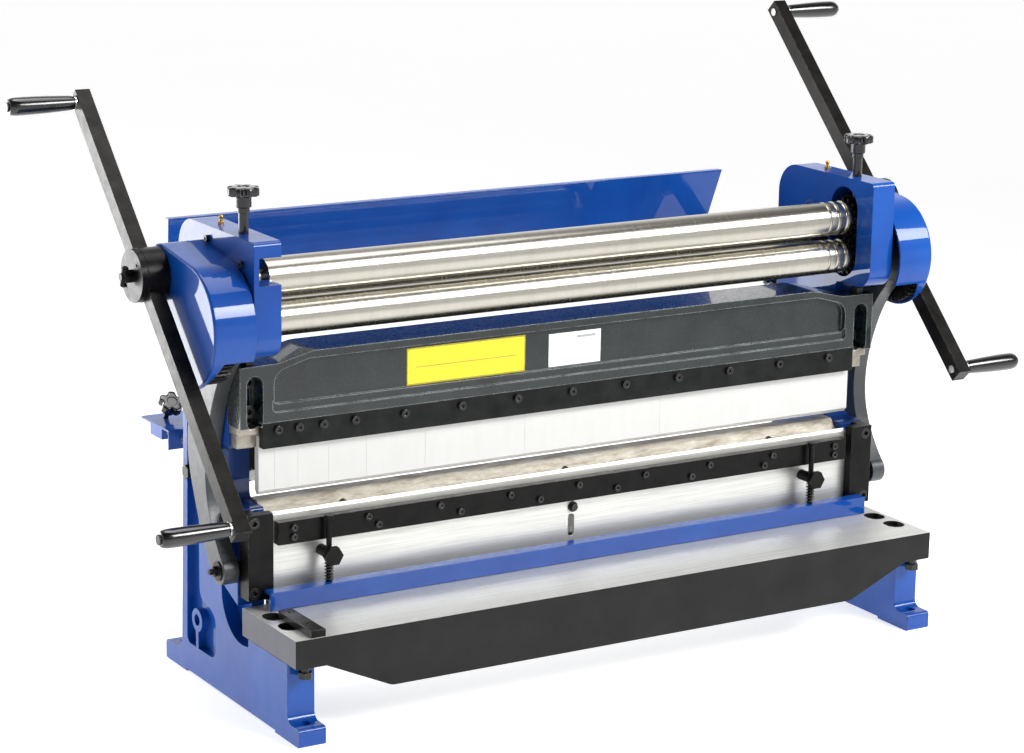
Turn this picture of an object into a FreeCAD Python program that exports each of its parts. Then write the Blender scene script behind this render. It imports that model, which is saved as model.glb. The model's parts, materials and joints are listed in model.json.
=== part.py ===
import FreeCAD, Part
import math
import os

from FreeCAD import Vector

# Bench-top three-in-one sheet metal machine: shear at the bottom, press brake in the middle,
# slip roll at the top, all driven from one pair of cranks.  Millimetres, X to the right,
# Y to the rear, Z up.  The origin is the centre of the foot bolt pattern, on the bench.

RIGHT = 1
LEFT = -1
SIDES = {"right": RIGHT, "left": LEFT}
MOVE_GAP = 0.3                    # clearance between pieces that move past each other
FIT_GAP = 0.05                    # radial clearance of a running fit
HOLE_GAP = 0.2                    # radial clearance of a screw in its hole

# Side frames
FRAME_IN = 499.0
FRAME_OUT = 540.0
FRAME_MID = (FRAME_IN + FRAME_OUT) / 2
FOOT_BOLT_Y = 192.0
FOOT_BOLT_R = 7.0
TOE_TOP = 26.0
SHOULDER_Z = 109.0
GUIDE_FACE_Y = -27.0
BEAM_SEAT_Y = -1.0
STAND_BOTTOM = 508.0
STAND_TOP = 672.0
STAND_FRONT_Y = -84.0
STAND_REAR_Y = 156.0

# Table and shear
TABLE_HALF = 540.8
TABLE_FRONT_Y = -207.0
SHEAR_Y = -43.0
TABLE_TOP = 150.0
BELLY_Z = 64.0

# Ram and V die
RAM_HALF = 498.5
RAM_FACE_Y = -41.0
RAM_REAR_Y = 20.0
RAM_BOTTOM = 168.0
PIN_Y = -16.0
PIN_Z = 200.0
PIN_R = 10.0
LINK_IN = {"left": 541.5, "right": 561.0}
LINK_THICK = 23.0
NECK_Y = 18.0

# Upper beam and fingers
BEAM_HALF = 541.2
BEAM_TOP = 505.0
BEAM_BOTTOM = 372.0
FINGER_FRONT_Y = -29.0
FINGER_REAR_Y = -17.0
FINGER_TIP_Z = 304.0
FINGER_TOP_Z = 388.5
FINGER_WIDTHS = (24.3, 36.5, 48.0, 60.0, 95.0, 165.5, 236.5, 350.0)
FINGER_GAP = 0.2
CLAMP_HALF = 506.5

# Rolls
ROLL_R = 26.0
ROLL_HALF = 496.5
JOURNAL_R = 12.0
ROLL_Y = -14.0
LOWER_Z = 550.5
UPPER_Z = 609.7
REAR_ROLL_Y = 50.0
REAR_ROLL_Z = 560.0
REAR_TILT = math.radians(30)      # the rear roll's guides climb forward at this angle
WIRE_GROOVES = ((456.0, 2.5), (471.5, 3.0), (487.0, 3.5))

# Drive
CRANK_Y = 73.6
CRANK_Z = 608.4
GEAR_MODULE = 3.0
GEAR_TEETH = 52
PINION_TEETH = 18
ECCENTRIC = 18.0
ECCENTRIC_ANGLE = math.radians(-60)
ECCENTRIC_R = 32.0
STRAP_BORE_R = 41.6
STRAP_R = 52.0
COVER_OUT = 606.0
COVER_WALL = 3.2
HUB_R = 37.5
ARM_WIDTH = 24.0
ARM_IN = 616.0
ARM_OUT = 638.0
ARM_LENGTH = 728.0
ARM_CENTRE = {"left": -54.0, "right": 35.0}
GRIP_LENGTH = 97.0
GRIP_R = 13.0


# ---------------------------------------------------------------- helpers

def box(x0, x1, y0, y1, z0, z1):
    corner = Vector(min(x0, x1), min(y0, y1), min(z0, z1))
    return Part.makeBox(abs(x1 - x0), abs(y1 - y0), abs(z1 - z0), corner)


def rod(start, end, radius):
    axis = Vector(*end) - Vector(*start)
    return Part.makeCylinder(radius, axis.Length, Vector(*start), axis)


def rod_x(x0, x1, y, z, radius):
    return rod((x0, y, z), (x1, y, z), radius)


def tube_x(x0, x1, y, z, radius, bore):
    return rod_x(x0, x1, y, z, radius).cut(rod_x(x0 - 1, x1 + 1, y, z, bore))


def outline(corners, place):
    """A closed wire through (a, b, radius) corners, each rounded by its radius."""
    edges = []
    count = len(corners)
    starts = []
    ends = []
    mids = []
    for i, (a, b, radius) in enumerate(corners):
        here = Vector(a, b, 0)
        before = Vector(corners[i - 1][0], corners[i - 1][1], 0) - here
        after = Vector(corners[(i + 1) % count][0], corners[(i + 1) % count][1], 0) - here
        before.normalize()
        after.normalize()
        if radius == 0:
            starts.append(here)
            ends.append(here)
            mids.append(None)
            continue
        half = before.getAngle(after) / 2
        reach = radius / math.tan(half)
        bisector = before + after
        bisector.normalize()
        starts.append(here + before * reach)
        ends.append(here + after * reach)
        mids.append(here + bisector * (radius / math.sin(half) - radius))
    for i in range(count):
        if mids[i] is not None:
            edges.append(Part.Arc(place(starts[i]), place(mids[i]), place(ends[i])).toShape())
        following = (i + 1) % count
        if (starts[following] - ends[i]).Length > 1e-6:
            edges.append(Part.makeLine(place(ends[i]), place(starts[following])))
    return Part.Wire(edges)


def cornered(points, radius=0):
    return [(p[0], p[1], p[2] if len(p) > 2 else radius) for p in points]


def prism_x(points, x0, x1):
    """Extrude a (y, z[, radius]) outline along X."""
    wire = outline(cornered(points), lambda v: Vector(x0, v.x, v.y))
    return Part.Face(wire).extrude(Vector(x1 - x0, 0, 0))


def prism_y(points, y0, y1):
    """Extrude an (x, z[, radius]) outline along Y."""
    wire = outline(cornered(points), lambda v: Vector(v.x, y0, v.y))
    return Part.Face(wire).extrude(Vector(0, y1 - y0, 0))


def both(points):
    """Close a right-hand half outline, listed from its inner top round to its inner bottom."""
    half = [p for p in points if p[0] != 0]
    return half + [(-p[0],) + tuple(p[1:]) for p in reversed(half)]


def mirror(shape):
    return shape.mirror(Vector(0, 0, 0), Vector(1, 0, 0))


def on_side(shape, side):
    return shape if side == RIGHT else mirror(shape)


def pair(shape):
    return [shape, mirror(shape)]


def fuse(shapes):
    shapes = list(shapes)
    return shapes[0].multiFuse(shapes[1:]).removeSplitter()


def cut(shape, tools):
    return shape.cut(Part.makeCompound(list(tools)))


def hexagon(at, axis, across_flats, height):
    axis = Vector(*axis)
    points = []
    for i in range(7):
        angle = math.radians(60 * i)
        points.append(Vector(math.cos(angle), math.sin(angle), 0) * (across_flats / math.sqrt(3)))
    solid = Part.Face(Part.makePolygon(points)).extrude(Vector(0, 0, height))
    turn = FreeCAD.Rotation(Vector(0, 0, 1), axis)
    solid.Placement = FreeCAD.Placement(Vector(*at), turn)
    return solid


def cap_screw(at, out, head_r, head_h, shank_r, shank):
    """Socket head screw: `at` is under the head, `out` points from shank to head."""
    out = Vector(*out)
    base = Vector(*at)
    head = Part.makeCylinder(head_r, head_h, base, out)
    socket = hexagon(base + out * (head_h * 0.45), out, head_r * 0.95, head_h)
    return head.cut(socket).fuse(Part.makeCylinder(shank_r, shank, base - out * shank, out)).removeSplitter()


def hex_screw(at, out, across_flats, head_h, shank_r, shank):
    out = Vector(*out)
    base = Vector(*at)
    return hexagon(base, out, across_flats, head_h).fuse(
        Part.makeCylinder(shank_r, shank, base - out * shank, out)).removeSplitter()


def screw_hole(at, out, shank_r, depth, head_r=0.0, head_depth=0.0):
    out = Vector(*out)
    base = Vector(*at)
    hole = Part.makeCylinder(shank_r + HOLE_GAP, depth, base - out * (depth - 0.5), out)
    if head_r:
        hole = hole.fuse(Part.makeCylinder(head_r + MOVE_GAP, head_depth, base, out))
    return hole


def star(radius, thickness, lobes, at, axis):
    """Lobed hand knob, its underside at `at`, growing along `axis`."""
    disc = Part.makeCylinder(radius * 0.82, thickness)
    parts = [disc]
    for i in range(lobes):
        angle = 2 * math.pi * i / lobes
        centre = Vector(math.cos(angle), math.sin(angle), 0) * (radius * 0.76)
        parts.append(Part.makeCylinder(radius * 0.24, thickness, centre))
    knob = fuse(parts)
    knob.Placement = FreeCAD.Placement(Vector(*at), FreeCAD.Rotation(Vector(0, 0, 1), Vector(*axis)))
    return knob


def involute(angle):
    return math.tan(angle) - angle


def gear(teeth, pitch_r, outer_r, root_r, fill, x0, x1, y, z, tooth_at, bore):
    """Spur gear along X; `fill` is tooth thickness over pitch, `tooth_at` a tooth's angle."""
    pressure = math.radians(20)
    base_r = pitch_r * math.cos(pressure)
    half_at_pitch = fill * math.pi / teeth
    radii = [root_r, max(base_r, root_r + 0.2), (base_r + outer_r) / 2, outer_r]
    halves = []
    for r in radii:
        turn = math.acos(min(1.0, base_r / max(r, base_r)))
        halves.append(half_at_pitch + involute(pressure) - involute(turn))
    points = []
    for i in range(teeth):
        middle = tooth_at + 2 * math.pi * i / teeth
        flank = [(r, middle - h) for r, h in zip(radii, halves)]
        flank += [(r, middle + h) for r, h in zip(reversed(radii), reversed(halves))]
        points += [Vector(x0, y + r * math.cos(a), z + r * math.sin(a)) for r, a in flank]
    points.append(points[0])
    blank = Part.Face(Part.makePolygon(points)).extrude(Vector(x1 - x0, 0, 0))
    return blank.cut(rod_x(x0 - 1, x1 + 1, y, z, bore))


def chamfered_roll(radius, half):
    edge = 2.0
    profile = [(-half, 0), (-half, radius - edge), (-half + edge, radius),
               (half - edge, radius), (half, radius - edge), (half, 0), (-half, 0)]
    face = Part.Face(Part.makePolygon([Vector(x, r, 0) for x, r in profile]))
    return face.revolve(Vector(0, 0, 0), Vector(1, 0, 0), 360)


pieces = {}


def save(name, *shapes):
    """Add solids to a node; several identical or related small pieces share one node."""
    for shape in shapes:
        pieces.setdefault(name, []).extend(shape.Solids)


def export_all():
    os.makedirs("parts", exist_ok=True)
    for name, solids in pieces.items():
        whole = solids[0] if len(solids) == 1 else Part.makeCompound(solids)
        whole.exportStep("parts/" + name + ".step")
        print(name, len(solids), round(whole.Volume / 1000, 1), whole.isValid())


# ---------------------------------------------------------------- side frames

STAR_SCREW_X = 521.0
STAR_ROD_R = 7.0
POCKET_R = 33.0
BLOCK_IN = 514.0
BLOCK_OUT = 533.0
BLOCK_HALF = 28.0
POCKET_TOP = 657.0
ARCH_Z = POCKET_TOP - POCKET_R
CRANK_BUSH_R = 15.0
REAR_POCKET_X = 521.0
REAR_BLOCK_HALF = 18.0
REAR_SCREW_X = 510.0
REAR_SCREW_R = 6.0
REAR_BACK = 25.0
REAR_FORWARD = 8.0
GUIDE_SCREW_X = 527.6
GUIDE_SCREW_Z = (172.1, 272.7)
BEAM_BOLT_X = 518.5
BEAM_BOLT_Z = (423.0, 465.0)
TABLE_BOLT_Y = (-145.0, -96.5)
SIDE_SCREWS = ((58.0, 654.0), (-50.0, 637.0))
NIPPLE_Y = 60.0
TIE_Y = 120.0
TIE_Z = (280.0, 330.0)
BRACKET_BOLTS = ((112.0, 537.0), (140.0, 530.0))

FORWARD = Vector(0, -math.cos(REAR_TILT), math.sin(REAR_TILT))
ACROSS = Vector(0, math.sin(REAR_TILT), math.cos(REAR_TILT))


def rear_slot(x0, x1, back, forward, half):
    """A rectangular bar in the rear roll's tilted guide directions."""
    centre = Vector(x0, REAR_ROLL_Y, REAR_ROLL_Z)
    corners = [(back, -half), (forward, -half), (forward, half), (back, half), (back, -half)]
    wire = Part.makePolygon([centre + FORWARD * u + ACROSS * v for u, v in corners])
    return Part.Face(wire).extrude(Vector(x1 - x0, 0, 0))


def side_frame(with_notch):
    body = prism_x([
        (-214.5, 0, 3), (-214.5, TOE_TOP, 5), (-180, TOE_TOP, 12), (-180, SHOULDER_Z, 0),
        (GUIDE_FACE_Y, SHOULDER_Z, 0), (GUIDE_FACE_Y, 286, 4), (NECK_Y, 286, 14),
        (NECK_Y, 366, 4), (BEAM_SEAT_Y, 366, 3),
        (BEAM_SEAT_Y, STAND_BOTTOM, 6), (STAND_FRONT_Y, STAND_BOTTOM, 30),
        (STAND_FRONT_Y, STAND_TOP, 7), (STAND_REAR_Y, STAND_TOP, 45), (STAND_REAR_Y, 590, 20),
        (148, 360, 60), (160, 28.4, 20), (216, 28.4, 6), (216, 0, 3), (145, 0, 0),
        (145, 3.3, 0), (-142, 3.3, 0), (-142, 0, 0)], FRAME_IN, FRAME_OUT)
    recess_floor = 528.0
    recess = prism_x([
        (142, 46, 12), (45, 46, 18), (45, 112, 20), (98, 128, 15), (98, 490, 15),
        (134, 490, 12), (134, 360, 30)], recess_floor, FRAME_OUT + 1)
    boss = fuse([rod_x(recess_floor - 1, FRAME_OUT, 108, 88, 17),
                 box(recess_floor - 1, FRAME_OUT, 104, 112, 40, 76)])
    throat = rod_x(519, FRAME_OUT + 1, -40, 160, 65).common(prism_x(
        [(-60, 80), (30, 80), (30, 172), (GUIDE_FACE_Y, 149), (-60, 149)], 519, FRAME_OUT + 1))
    inside = FRAME_IN - 1
    outside = FRAME_OUT + 1
    tools = [
        recess.cut(boss),
        throat,
        rod_x(inside, outside, 108, 88, 8.6),
        rod_x(515, outside, 53, 68, 4),
        prism_x([(-30, 186, 0), (28, 186, 20), (28, 262, 20), (-30, 262, 0)], inside, outside),
        rod((FRAME_MID, -FOOT_BOLT_Y, -1), (FRAME_MID, -FOOT_BOLT_Y, 40), FOOT_BOLT_R),
        rod((FRAME_MID, FOOT_BOLT_Y, -1), (FRAME_MID, FOOT_BOLT_Y, 40), FOOT_BOLT_R),
        rod_x(inside, BLOCK_IN, ROLL_Y, ARCH_Z, POCKET_R),
        rod_x(inside, BLOCK_IN, ROLL_Y, LOWER_Z, POCKET_R),
        box(inside, BLOCK_IN, ROLL_Y - POCKET_R, ROLL_Y + POCKET_R, LOWER_Z, ARCH_Z),
        box(BLOCK_IN - 1, BLOCK_OUT, ROLL_Y - BLOCK_HALF, ROLL_Y + BLOCK_HALF, 527, POCKET_TOP),
        rod_x(BLOCK_OUT - 1, outside, ROLL_Y, LOWER_Z, JOURNAL_R + 0.5),
        rod((STAR_SCREW_X, ROLL_Y, POCKET_TOP - 1), (STAR_SCREW_X, ROLL_Y, STAND_TOP + 1),
            STAR_ROD_R + MOVE_GAP),
        rod_x(inside, outside, CRANK_Y, CRANK_Z, CRANK_BUSH_R),
        rear_slot(inside, REAR_POCKET_X, -REAR_BLOCK_HALF - REAR_BACK - 1,
                  REAR_BLOCK_HALF + REAR_FORWARD + 1, REAR_BLOCK_HALF + MOVE_GAP),
        rear_rod(0, 160, REAR_SCREW_R + MOVE_GAP),
        rod_x(inside, outside, TIE_Y + 6, 305, 5 + HOLE_GAP),
    ]
    for z in GUIDE_SCREW_Z:
        tools.append(screw_hole((GUIDE_SCREW_X, GUIDE_FACE_Y, z), (0, -1, 0), 5, 22))
    for z in BEAM_BOLT_Z:
        tools.append(screw_hole((BEAM_BOLT_X, BEAM_SEAT_Y, z), (0, -1, 0), 6, 26))
    for y in TABLE_BOLT_Y:
        tools.append(screw_hole((FRAME_MID, y, SHOULDER_Z), (0, 0, 1), 8, 41))
    for y, z in SIDE_SCREWS:
        tools.append(screw_hole((FRAME_OUT, y, z), (1, 0, 0), 3, 7.5))
    for y, z in BRACKET_BOLTS:
        tools.append(screw_hole((FRAME_IN, y, z), (-1, 0, 0), 4, 15))
    tools.append(rod((FRAME_MID, NIPPLE_Y, STAND_TOP - 8), (FRAME_MID, NIPPLE_Y, STAND_TOP + 1), 3))
    tools.append(screw_hole((JACK_X, JACK_Y, STAND_BOTTOM), (0, 0, -1), 6, 20))
    if with_notch:
        tools.append(box(inside, 532, STAND_FRONT_Y - 1, ROLL_Y - BLOCK_HALF, 612, 650))
    return cut(body, tools)


def rear_rod(start, end, radius):
    centre = Vector(REAR_SCREW_X, REAR_ROLL_Y, REAR_ROLL_Z)
    return Part.makeCylinder(radius, end - start, centre - FORWARD * start, FORWARD * -1)


JACK_X = 522.0
JACK_Y = -24.0


def frames():
    for name, side in SIDES.items():
        save(name + "_side_frame", on_side(side_frame(side == LEFT), side))


# ---------------------------------------------------------------- table and shear

GAUGE_BAR = (-516.0, -494.0, -204.0, -105.0, 160.0)
GAUGE_SCREWS = ((-505.0, -116.0), (-505.0, -170.0))
BLADE_DEPTH = 12.0
BLADE_BOTTOM = 122.0


def table():
    slab = prism_y(both([
        (0, TABLE_TOP), (TABLE_HALF, TABLE_TOP), (TABLE_HALF, SHOULDER_Z, 2), (0, SHOULDER_Z)]),
        TABLE_FRONT_Y, SHEAR_Y)
    belly = prism_y(both([
        (0, TABLE_TOP - 5), (494, TABLE_TOP - 5), (494, SHOULDER_Z, 0), (393, BELLY_Z, 20), (0, BELLY_Z)]),
        TABLE_FRONT_Y, TABLE_FRONT_Y + 20)
    blade_seat = box(-498, 498, SHEAR_Y - BLADE_DEPTH, SHEAR_Y + 1, BLADE_BOTTOM, TABLE_TOP + 1)
    tools = [blade_seat]
    for sign in (-1, 1):
        for y in TABLE_BOLT_Y:
            x = sign * FRAME_MID
            tools.append(rod((x, y, SHOULDER_Z - 1), (x, y, TABLE_TOP), 8 + HOLE_GAP))
            tools.append(rod((x, y - 3, TABLE_TOP - 20), (x, y - 3, TABLE_TOP + 1), 14.5))
            tools.append(rod((x, y + 3, TABLE_TOP - 20), (x, y + 3, TABLE_TOP + 1), 14.5))
        tools.append(rod((sign * FRAME_MID, -193, SHOULDER_Z - 1), (sign * FRAME_MID, -193, 130), 6.2))
    for x, y in GAUGE_SCREWS:
        tools.append(rod((x, y, 138), (x, y, TABLE_TOP + 1), 3 + HOLE_GAP))
    for x in LOWER_BLADE_SCREWS:
        tools.append(screw_hole((x, SHEAR_Y - BLADE_DEPTH, 134), (0, 1, 0), 4, 20))
    save("table", cut(fuse([slab, belly]), tools))
    blade = box(-498, 498, SHEAR_Y - BLADE_DEPTH, SHEAR_Y, BLADE_BOTTOM, TABLE_TOP)
    blade_holes = [screw_hole((x, SHEAR_Y - 5, 134), (0, 1, 0), 4, 12, 7, 6) for x in LOWER_BLADE_SCREWS]
    save("lower_shear_blade", cut(blade, blade_holes))
    save("table_screws", *[
        cap_screw((x, SHEAR_Y - 5, 134), (0, 1, 0), 7, 4.6, 4, 22) for x in LOWER_BLADE_SCREWS])
    bolts = []
    jacks = []
    for sign in (-1, 1):
        for y in TABLE_BOLT_Y:
            bolts.append(cap_screw((sign * FRAME_MID, y, TABLE_TOP - 20), (0, 0, 1), 12, 14, 8, 58))
        jacks.append(hex_screw((sign * FRAME_MID, -193, 100), (0, 0, -1), 18, 9, 6, 26))
    save("table_screws", *bolts)
    save("table_screws", *jacks)
    x0, x1, y0, y1, top = GAUGE_BAR
    bar = box(x0, x1, y0, y1, TABLE_TOP, top)
    save("squaring_gauge", cut(bar, [
        screw_hole((x, y, top - 5), (0, 0, 1), 3, 9, 5, 8) for x, y in GAUGE_SCREWS]))
    save("table_screws", *[
        cap_screw((x, y, top - 5), (0, 0, 1), 5, 4.6, 3, 14) for x, y in GAUGE_SCREWS])


LOWER_BLADE_SCREWS = (-420.0, -140.0, 140.0, 420.0)


# ---------------------------------------------------------------- ram, V die and hold-down

DIE_BAR_HALF = 490.0
DIE_BAR_FRONT_Y = -55.0
DIE_BAR_Z = (236.0, 269.0)
DIE_SCREWS = [(x * 116.7, 259.5) for x in range(-4, 5)]
DIE_SCREWS += [((x + 0.5) * 133.4, 246.0) for x in range(-4, 4)]
DIE_SCREW_R = 3.0
HOLD_X = 417.0
HOLD_ROD_Y = -65.0
HOLD_BOLT_Z = 217.0
UPPER_BLADE_SCREWS = (-420.0, -210.0, 0.0, 210.0, 420.0)
RAM_SLOT_X = -3.0
LIP_Z = 281.0


def ram():
    block = prism_x([
        (RAM_FACE_Y, RAM_BOTTOM), (RAM_FACE_Y, 240), (-26, 240), (-26, 266),
        (-3, 289), (RAM_REAR_Y, 289, 2), (RAM_REAR_Y, RAM_BOTTOM, 2)], -RAM_HALF, RAM_HALF)
    tongue = box(-520.4, 520.4, RAM_FACE_Y, GUIDE_FACE_Y - 0.6, RAM_BOTTOM, 274)
    tongue = tongue.cut(box(-RAM_HALF, RAM_HALF, RAM_FACE_Y - 1, -20, 160, 290))
    body = fuse([block, tongue])
    tools = [box(-498.6, 498.6, RAM_FACE_Y - 1, -26, 160, RAM_BOTTOM)]
    for x in (-370, 0, 370):
        tools.append(rod((x, -30, 285), (x, 2, 253), 6))
    for x, z in DIE_SCREWS:
        tools.append(screw_hole((x, RAM_FACE_Y, z), (0, -1, 0), DIE_SCREW_R, 30))
    for x in UPPER_BLADE_SCREWS:
        tools.append(rod((x, UPPER_BLADE_SCREW_Y, RAM_BOTTOM - 1), (x, UPPER_BLADE_SCREW_Y, 190), 4.2))
    for sign in (-1, 1):
        tools.append(rod((sign * HOLD_X, RAM_FACE_Y - 1, HOLD_BOLT_Z), (sign * HOLD_X, -26, HOLD_BOLT_Z), 8.2))
        tools.append(rod_x(sign * 470, sign * 522, PIN_Y, PIN_Z, PIN_R + FIT_GAP))
    tools.append(prism_y([
        (RAM_SLOT_X - 5.5, 178, 5.4), (RAM_SLOT_X + 5.5, 178, 5.4),
        (RAM_SLOT_X + 5.5, 212, 5.4), (RAM_SLOT_X - 5.5, 212, 5.4)], RAM_FACE_Y - 1, -28))
    tools.append(screw_hole((RAM_SLOT_X + 2, RAM_FACE_Y, 222.5), (0, -1, 0), 3, 15))
    save("ram", cut(body, tools))


UPPER_BLADE_SCREW_Y = -35.0


def v_die():
    die = prism_x([
        (RAM_FACE_Y, 240), (RAM_FACE_Y, LIP_Z - 4), (-39, LIP_Z), (-37, LIP_Z), (-26, 270), (-26, 240)],
        -497, 497)
    save("v_die_front_bar", cut(die, [
        screw_hole((x, RAM_FACE_Y, z), (0, -1, 0), DIE_SCREW_R, 20) for x, z in DIE_SCREWS]))
    bar = box(-DIE_BAR_HALF, DIE_BAR_HALF, DIE_BAR_FRONT_Y, RAM_FACE_Y, *DIE_BAR_Z)
    save("die_clamp_bar", cut(bar, [
        screw_hole((x, DIE_BAR_FRONT_Y, z), (0, -1, 0), DIE_SCREW_R, 16) for x, z in DIE_SCREWS]))
    save("ram_screws", *[
        cap_screw((x, DIE_BAR_FRONT_Y, z), (0, -1, 0), 5, 4, DIE_SCREW_R, 40) for x, z in DIE_SCREWS])


def upper_blade():
    low_left = 128.0
    low_right = 146.0
    blade = prism_y([(-498, RAM_BOTTOM), (498, RAM_BOTTOM), (498, low_right), (-498, low_left)],
                    RAM_FACE_Y, -29)
    tools = []
    screws = []
    for x in UPPER_BLADE_SCREWS:
        seat = low_left + (low_right - low_left) * (x + 498) / 996 + 9
        tools.append(rod((x, UPPER_BLADE_SCREW_Y, seat - 20), (x, UPPER_BLADE_SCREW_Y, seat), 5.6))
        tools.append(rod((x, UPPER_BLADE_SCREW_Y, seat - 1), (x, UPPER_BLADE_SCREW_Y, 169), 3.2))
        screws.append(cap_screw((x, UPPER_BLADE_SCREW_Y, seat), (0, 0, -1), 5.2, 5, 3, 180 - seat))
    save("upper_shear_blade", cut(blade, tools))
    save("ram_screws", *screws)


def hold_down():
    bolts = []
    rods = []
    springs = []
    for sign in (-1, 1):
        x = sign * HOLD_X
        bolt = hex_screw((x, -73, HOLD_BOLT_Z), (0, -1, 0), 25, 9, 8, 46)
        bolts.append(bolt.cut(rod((x, HOLD_ROD_Y, 200), (x, HOLD_ROD_Y, 235), 4.4)))
        rods.append(fuse([rod((x, HOLD_ROD_Y, 173), (x, HOLD_ROD_Y, 268), 4),
                          hexagon((x, HOLD_ROD_Y, 268), (0, 0, 1), 14, 6)]))
        helix = Part.makeHelix(4.6, 29.6, 5.8)
        wire_face = Part.Wire([Part.makeCircle(0.9, Vector(5.8, 0, 0), Vector(0, 1, 0.1))])
        coil = Part.Wire(helix.Edges).makePipeShell([wire_face], True, True)
        coil.translate(Vector(x, HOLD_ROD_Y, 178.2))
        springs.append(coil)
    save("hold_down_cross_bolts", *bolts)
    save("hold_down_rods", *rods)
    save("hold_down_springs", *springs)
    angle = fuse([box(-514, 514, -78, -74, 150.5, 177), box(-514, 514, -78, -58.5, 173, 177)])
    tools = [rod((s * HOLD_X, HOLD_ROD_Y, 170), (s * HOLD_X, HOLD_ROD_Y, 178), 4 + HOLE_GAP) for s in (-1, 1)]
    save("hold_down_bar", cut(angle, tools))
    head = (RAM_SLOT_X + 2, RAM_FACE_Y - 2, 222.5)
    washer = rod((head[0], RAM_FACE_Y, 222.5), (head[0], RAM_FACE_Y - 2, 222.5), 8)
    save("ram_screws", washer.cut(rod((head[0], -50, 222.5), (head[0], -30, 222.5), 3.2)))
    save("ram_screws", hex_screw(head, (0, -1, 0), 10, 5, 3, 15))


def guides():
    for name, side in SIDES.items():
        outer = box(521, 537.5, -57, GUIDE_FACE_Y, 162, 285)
        lip = box(499.2, 521.5, -57, -41.6, 162, 285)
        holes = [screw_hole((GUIDE_SCREW_X, -47, z), (0, -1, 0), 5, 25, 8, 12) for z in GUIDE_SCREW_Z]
        save("guide_bars", on_side(cut(fuse([outer, lip]), holes), side))
    screws = []
    for z in GUIDE_SCREW_Z:
        screws += pair(cap_screw((GUIDE_SCREW_X, -47, z), (0, -1, 0), 8, 9.6, 5, 40))
    save("frame_screws", *screws)


# ---------------------------------------------------------------- links

def link_shape(x0):
    strap_y = ROLL_Y + ECCENTRIC * math.cos(ECCENTRIC_ANGLE)
    strap_z = LOWER_Z + ECCENTRIC * math.sin(ECCENTRIC_ANGLE)
    x1 = x0 + LINK_THICK
    strap = rod_x(x0, x1, strap_y, strap_z, STRAP_R)
    hub = rod_x(x0, x1, PIN_Y, PIN_Z, 20.5)
    front = [(-44, 500), (-19, 468), (8, 410), (22, 350), (18, 295), (0, 254), (-34, 210)]
    rear = [(-2, 186), (36, 240), (60, 290), (78, 343), (76, 400), (64, 450), (42, 510)]
    front_curve = Part.BSplineCurve()
    front_curve.interpolate([Vector(x0, y, z) for y, z in front])
    rear_curve = Part.BSplineCurve()
    rear_curve.interpolate([Vector(x0, y, z) for y, z in rear])
    low = Part.makeLine(Vector(x0, *front[-1]), Vector(x0, *rear[0]))
    high = Part.makeLine(Vector(x0, *rear[-1]), Vector(x0, *front[0]))
    face = Part.Face(Part.Wire([front_curve.toShape(), low, rear_curve.toShape(), high]))
    bow = face.extrude(Vector(LINK_THICK, 0, 0))
    body = fuse([strap, hub, bow])
    return cut(body, [
        rod_x(x0 - 1, x1 + 1, strap_y, strap_z, STRAP_BORE_R),
        rod_x(x0 - 1, x1 + 1, PIN_Y, PIN_Z, PIN_R + FIT_GAP)])


def links():
    """The left link runs close to its frame, the right one stands off on a longer pin."""
    for name, side in SIDES.items():
        x0 = LINK_IN[name]
        face = x0 + LINK_THICK
        save("links", on_side(link_shape(x0), side))
        if name == "left":
            pin = fuse([rod_x(472, face + 2, PIN_Y, PIN_Z, PIN_R), rod_x(face + 2, face + 14, PIN_Y, PIN_Z, 4)])
            washer = tube_x(face, face + 2, PIN_Y, PIN_Z, 14, PIN_R + HOLE_GAP)
            nut = hexagon((face + 2, PIN_Y, PIN_Z), (1, 0, 0), 13, 6)
            nut = nut.cut(rod_x(560, 590, PIN_Y, PIN_Z, 4 + HOLE_GAP))
            save("ram_pins", *[on_side(s, side) for s in (pin, washer, nut)])
        else:
            pin = fuse([rod_x(472, face, PIN_Y, PIN_Z, PIN_R), rod_x(face, face + 1.5, PIN_Y, PIN_Z, 13)])
            collar = tube_x(FRAME_OUT + 1.5, x0, PIN_Y, PIN_Z, 15, PIN_R + HOLE_GAP)
            save("ram_pins", pin, collar)


# ---------------------------------------------------------------- upper beam and fingers

CLAMP_SCREW_Z = 398.4
CLAMP_SCREWS = [-484.0, -452.0, -414.0, -364.0] + [-285.1 + 92.9 * i for i in range(9)]
PLATE_THICK = 0.8


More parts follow.
